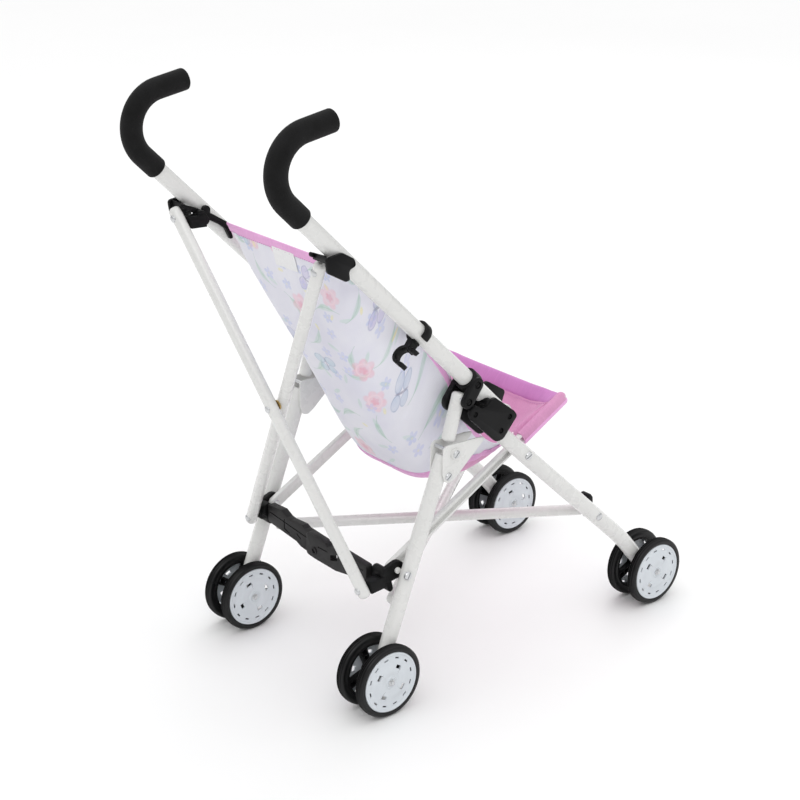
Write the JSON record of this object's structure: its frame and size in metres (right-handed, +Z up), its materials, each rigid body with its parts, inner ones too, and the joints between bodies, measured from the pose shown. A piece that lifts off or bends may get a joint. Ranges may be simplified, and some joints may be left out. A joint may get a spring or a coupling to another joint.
{
  "type": "doll stroller",
  "caption": "Folding doll stroller with umbrella handles, crossed bars, twin wheels and a printed fabric sling seat.",
  "frame": {"origin": "middle of the bounding box at floor level", "axes": "+X forwards, +Y to the left of a doll in the seat, +Z up"},
  "size_m": [0.5054, 0.2656, 0.576],
  "materials": {
    "white_steel": "white enamel, semi-gloss",
    "black_plastic": "moulded black plastic, satin",
    "grey_plastic": "moulded charcoal plastic, satin",
    "foam": "closed-cell foam, matte",
    "tyre": "black moulded tyre, satin",
    "wheel_cap": "pale grey-white plastic, gloss",
    "zinc_steel": "zinc plated steel",
    "brass": "brass, satin",
    "printed_fabric": "woven polyester with a printed flower pattern, matte"
  },
  "bodies": {
    "right_handle": {"right_handle_tube": "white_steel", "right_foam_grip": "foam", "right_hinge_clamp": "black_plastic", "right_elbow_box": "black_plastic", "right_elbow_pin": "zinc_steel", "seat_fabric": "printed_fabric"},
    "right_front_leg": {"right_front_leg": "white_steel", "right_front_axle": "zinc_steel"},
    "right_rear_leg": {"right_upper_rear_link": "white_steel", "right_outer_knee_plate": "white_steel", "right_inner_knee_plate": "white_steel", "right_rear_leg": "white_steel", "right_rear_axle": "zinc_steel"},
    "right_seat_rail": {"right_seat_rail": "white_steel"},
    "right_top_bracket": {"right_top_bracket": "black_plastic"},
    "right_rear_cross_bar": {"right_rear_cross_bar": "white_steel"},
    "right_bottom_bracket": {"right_bottom_bracket": "black_plastic"},
    "right_front_block": {"right_front_block": "black_plastic"},
    "right_low_cross_bar": {"right_low_cross_bar": "white_steel"},
    "right_spreader_half": {"right_spreader_half": "grey_plastic"},
    "left_handle": {"left_handle_tube": "white_steel", "left_foam_grip": "foam", "left_hinge_clamp": "black_plastic", "left_elbow_box": "black_plastic", "left_elbow_pin": "zinc_steel"},
    "left_front_leg": {"left_front_leg": "white_steel", "left_front_axle": "zinc_steel"},
    "left_rear_leg": {"left_upper_rear_link": "white_steel", "left_outer_knee_plate": "white_steel", "left_inner_knee_plate": "white_steel", "left_rear_leg": "white_steel", "left_rear_axle": "zinc_steel"},
    "left_seat_rail": {"left_seat_rail": "white_steel"},
    "left_top_bracket": {"left_top_bracket": "black_plastic"},
    "left_rear_cross_bar": {"left_rear_cross_bar": "white_steel", "rear_cross_washer": "brass"},
    "left_bottom_bracket": {"left_bottom_bracket": "black_plastic"},
    "left_front_block": {"left_front_block": "black_plastic"},
    "left_low_cross_bar": {"left_low_cross_bar": "white_steel", "low_cross_washer": "brass"},
    "left_spreader_half": {"left_spreader_half": "grey_plastic"},
    "transport_clip": {"transport_clip": "black_plastic"},
    "right_front_outer_wheel": {"right_front_outer_tyre": "tyre", "right_front_outer_wheel": "wheel_cap"},
    "right_front_inner_wheel": {"right_front_inner_tyre": "tyre", "right_front_inner_wheel": "wheel_cap"},
    "right_rear_outer_wheel": {"right_rear_outer_tyre": "tyre", "right_rear_outer_wheel": "wheel_cap"},
    "right_rear_inner_wheel": {"right_rear_inner_tyre": "tyre", "right_rear_inner_wheel": "wheel_cap"},
    "left_front_outer_wheel": {"left_front_outer_tyre": "tyre", "left_front_outer_wheel": "wheel_cap"},
    "left_front_inner_wheel": {"left_front_inner_tyre": "tyre", "left_front_inner_wheel": "wheel_cap"},
    "left_rear_outer_wheel": {"left_rear_outer_tyre": "tyre", "left_rear_outer_wheel": "wheel_cap"},
    "left_rear_inner_wheel": {"left_rear_inner_tyre": "tyre", "left_rear_inner_wheel": "wheel_cap"}
  },
  "joints": [
    {"name": "fold_slide", "type": "slide", "parent": "right_handle", "child": "left_handle", "axis": [0, -1, 0], "range_m": [0, 0.146], "deforming": ["seat_fabric"]},
    {"name": "right_front_leg_fold", "type": "hinge", "parent": "right_handle", "child": "right_front_leg", "pos_m": [0.008, -0.11, 0.2645], "axis": [0, -1, 0], "range_deg": [0, 105.5]},
    {"name": "right_rear_leg_fold", "type": "hinge", "parent": "right_handle", "child": "right_rear_leg", "pos_m": [-0.046, -0.11, 0.29], "axis": [0, -1, 0], "range_deg": [0, 50.64]},
    {"name": "right_seat_rail_turn", "type": "hinge", "parent": "right_rear_leg", "child": "right_seat_rail", "pos_m": [-0.111, -0.0928, 0.132], "axis": [0, -1, 0], "range_deg": [0, 6.25]},
    {"name": "right_top_bracket_turn", "type": "hinge", "parent": "right_handle", "child": "right_top_bracket", "pos_m": [-0.175, -0.11, 0.445], "axis": [0, -1, 0], "range_deg": [0, 23.44]},
    {"name": "right_bottom_bracket_turn", "type": "hinge", "parent": "right_rear_leg", "child": "right_bottom_bracket", "pos_m": [-0.111, -0.0989, 0.132], "axis": [0, -1, 0], "range_deg": [-27.7, 0]},
    {"name": "right_front_block_turn", "type": "hinge", "parent": "right_front_leg", "child": "right_front_block", "pos_m": [0.14, -0.0995, 0.117], "axis": [0, -1, 0], "range_deg": [-30.72, 0]},
    {"name": "right_rear_cross_bar_close", "type": "hinge", "parent": "right_top_bracket", "child": "right_rear_cross_bar", "pos_m": [-0.191, -0.097, 0.439], "axis": [-0.9851, 0, -0.1717], "range_deg": [0, 24.34]},
    {"name": "right_low_cross_bar_close", "type": "hinge", "parent": "right_front_block", "child": "right_low_cross_bar", "pos_m": [0.14, -0.0925, 0.117], "axis": [-0.0358, 0, 0.9994], "range_deg": [0, 29.69]},
    {"name": "right_spreader_half_fold", "type": "hinge", "parent": "right_bottom_bracket", "child": "right_spreader_half", "pos_m": [-0.126, -0.0848, 0.138], "axis": [1, 0, 0], "range_deg": [0, 80.5]},
    {"name": "right_front_outer_wheel_spin", "type": "hinge", "parent": "right_front_leg", "child": "right_front_outer_wheel", "pos_m": [0.2165, -0.1245, 0.036], "axis": [0, 1, 0], "continuous": true},
    {"name": "right_front_inner_wheel_spin", "type": "hinge", "parent": "right_front_leg", "child": "right_front_inner_wheel", "pos_m": [0.2165, -0.0955, 0.036], "axis": [0, 1, 0], "continuous": true},
    {"name": "right_rear_outer_wheel_spin", "type": "hinge", "parent": "right_rear_leg", "child": "right_rear_outer_wheel", "pos_m": [-0.1405, -0.1245, 0.036], "axis": [0, 1, 0], "continuous": true},
    {"name": "right_rear_inner_wheel_spin", "type": "hinge", "parent": "right_rear_leg", "child": "right_rear_inner_wheel", "pos_m": [-0.1405, -0.0955, 0.036], "axis": [0, 1, 0], "continuous": true},
    {"name": "left_front_leg_fold", "type": "hinge", "parent": "left_handle", "child": "left_front_leg", "pos_m": [0.008, 0.11, 0.2645], "axis": [0, -1, 0], "range_deg": [0, 105.5]},
    {"name": "left_rear_leg_fold", "type": "hinge", "parent": "left_handle", "child": "left_rear_leg", "pos_m": [-0.046, 0.11, 0.29], "axis": [0, -1, 0], "range_deg": [0, 50.64]},
    {"name": "left_seat_rail_turn", "type": "hinge", "parent": "left_rear_leg", "child": "left_seat_rail", "pos_m": [-0.111, 0.0928, 0.132], "axis": [0, -1, 0], "range_deg": [0, 6.25]},
    {"name": "left_top_bracket_turn", "type": "hinge", "parent": "left_handle", "child": "left_top_bracket", "pos_m": [-0.175, 0.11, 0.445], "axis": [0, -1, 0], "range_deg": [0, 23.44]},
    {"name": "left_bottom_bracket_turn", "type": "hinge", "parent": "left_rear_leg", "child": "left_bottom_bracket", "pos_m": [-0.111, 0.0989, 0.132], "axis": [0, -1, 0], "range_deg": [-27.7, 0]},
    {"name": "left_front_block_turn", "type": "hinge", "parent": "left_front_leg", "child": "left_front_block", "pos_m": [0.14, 0.0995, 0.117], "axis": [0, -1, 0], "range_deg": [-30.72, 0]},
    {"name": "left_rear_cross_bar_close", "type": "hinge", "parent": "left_top_bracket", "child": "left_rear_cross_bar", "pos_m": [-0.191, 0.097, 0.439], "axis": [0.9851, 0, 0.1717], "range_deg": [0, 24.34]},
    {"name": "left_low_cross_bar_close", "type": "hinge", "parent": "left_front_block", "child": "left_low_cross_bar", "pos_m": [0.14, 0.0925, 0.117], "axis": [0.0358, 0, -0.9994], "range_deg": [0, 29.69]},
    {"name": "left_spreader_half_fold", "type": "hinge", "parent": "left_bottom_bracket", "child": "left_spreader_half", "pos_m": [-0.126, 0.0848, 0.138], "axis": [-1, 0, 0], "range_deg": [0, 80.5]},
    {"name": "left_front_outer_wheel_spin", "type": "hinge", "parent": "left_front_leg", "child": "left_front_outer_wheel", "pos_m": [0.2165, 0.1245, 0.036], "axis": [0, 1, 0], "continuous": true},
    {"name": "left_front_inner_wheel_spin", "type": "hinge", "parent": "left_front_leg", "child": "left_front_inner_wheel", "pos_m": [0.2165, 0.0955, 0.036], "axis": [0, 1, 0], "continuous": true},
    {"name": "left_rear_outer_wheel_spin", "type": "hinge", "parent": "left_rear_leg", "child": "left_rear_outer_wheel", "pos_m": [-0.1405, 0.1245, 0.036], "axis": [0, 1, 0], "continuous": true},
    {"name": "left_rear_inner_wheel_spin", "type": "hinge", "parent": "left_rear_leg", "child": "left_rear_inner_wheel", "pos_m": [-0.1405, 0.0955, 0.036], "axis": [0, 1, 0], "continuous": true},
    {"name": "transport_clip_turn", "type": "hinge", "parent": "right_handle", "child": "transport_clip", "pos_m": [-0.09, -0.11, 0.36], "axis": [0.7071, 0, -0.7071], "range_deg": [0, 25]}
  ],
  "couplings": [
    {"joint": "right_front_leg_fold", "follows": "fold_slide", "rad_per_m": 12.552},
    {"joint": "right_rear_leg_fold", "follows": "fold_slide", "rad_per_m": 5.9939},
    {"joint": "right_seat_rail_turn", "follows": "fold_slide", "rad_per_m": 0.68737},
    {"joint": "right_top_bracket_turn", "follows": "fold_slide", "rad_per_m": 2.7423},
    {"joint": "right_bottom_bracket_turn", "follows": "fold_slide", "rad_per_m": -3.2516},
    {"joint": "right_front_block_turn", "follows": "fold_slide", "rad_per_m": -3.6126},
    {"joint": "right_rear_cross_bar_close", "follows": "fold_slide", "rad_per_m": 2.8499},
    {"joint": "right_low_cross_bar_close", "follows": "fold_slide", "rad_per_m": 3.4895},
    {"joint": "right_spreader_half_fold", "follows": "fold_slide", "rad_per_m": 9.5634},
    {"joint": "left_front_leg_fold", "follows": "fold_slide", "rad_per_m": 12.552},
    {"joint": "left_rear_leg_fold", "follows": "fold_slide", "rad_per_m": 5.9939},
    {"joint": "left_seat_rail_turn", "follows": "fold_slide", "rad_per_m": 0.68737},
    {"joint": "left_top_bracket_turn", "follows": "fold_slide", "rad_per_m": 2.7423},
    {"joint": "left_bottom_bracket_turn", "follows": "fold_slide", "rad_per_m": -3.2516},
    {"joint": "left_front_block_turn", "follows": "fold_slide", "rad_per_m": -3.6126},
    {"joint": "left_rear_cross_bar_close", "follows": "fold_slide", "rad_per_m": 2.8499},
    {"joint": "left_low_cross_bar_close", "follows": "fold_slide", "rad_per_m": 3.4895},
    {"joint": "left_spreader_half_fold", "follows": "fold_slide", "rad_per_m": 9.5634}
  ]
}
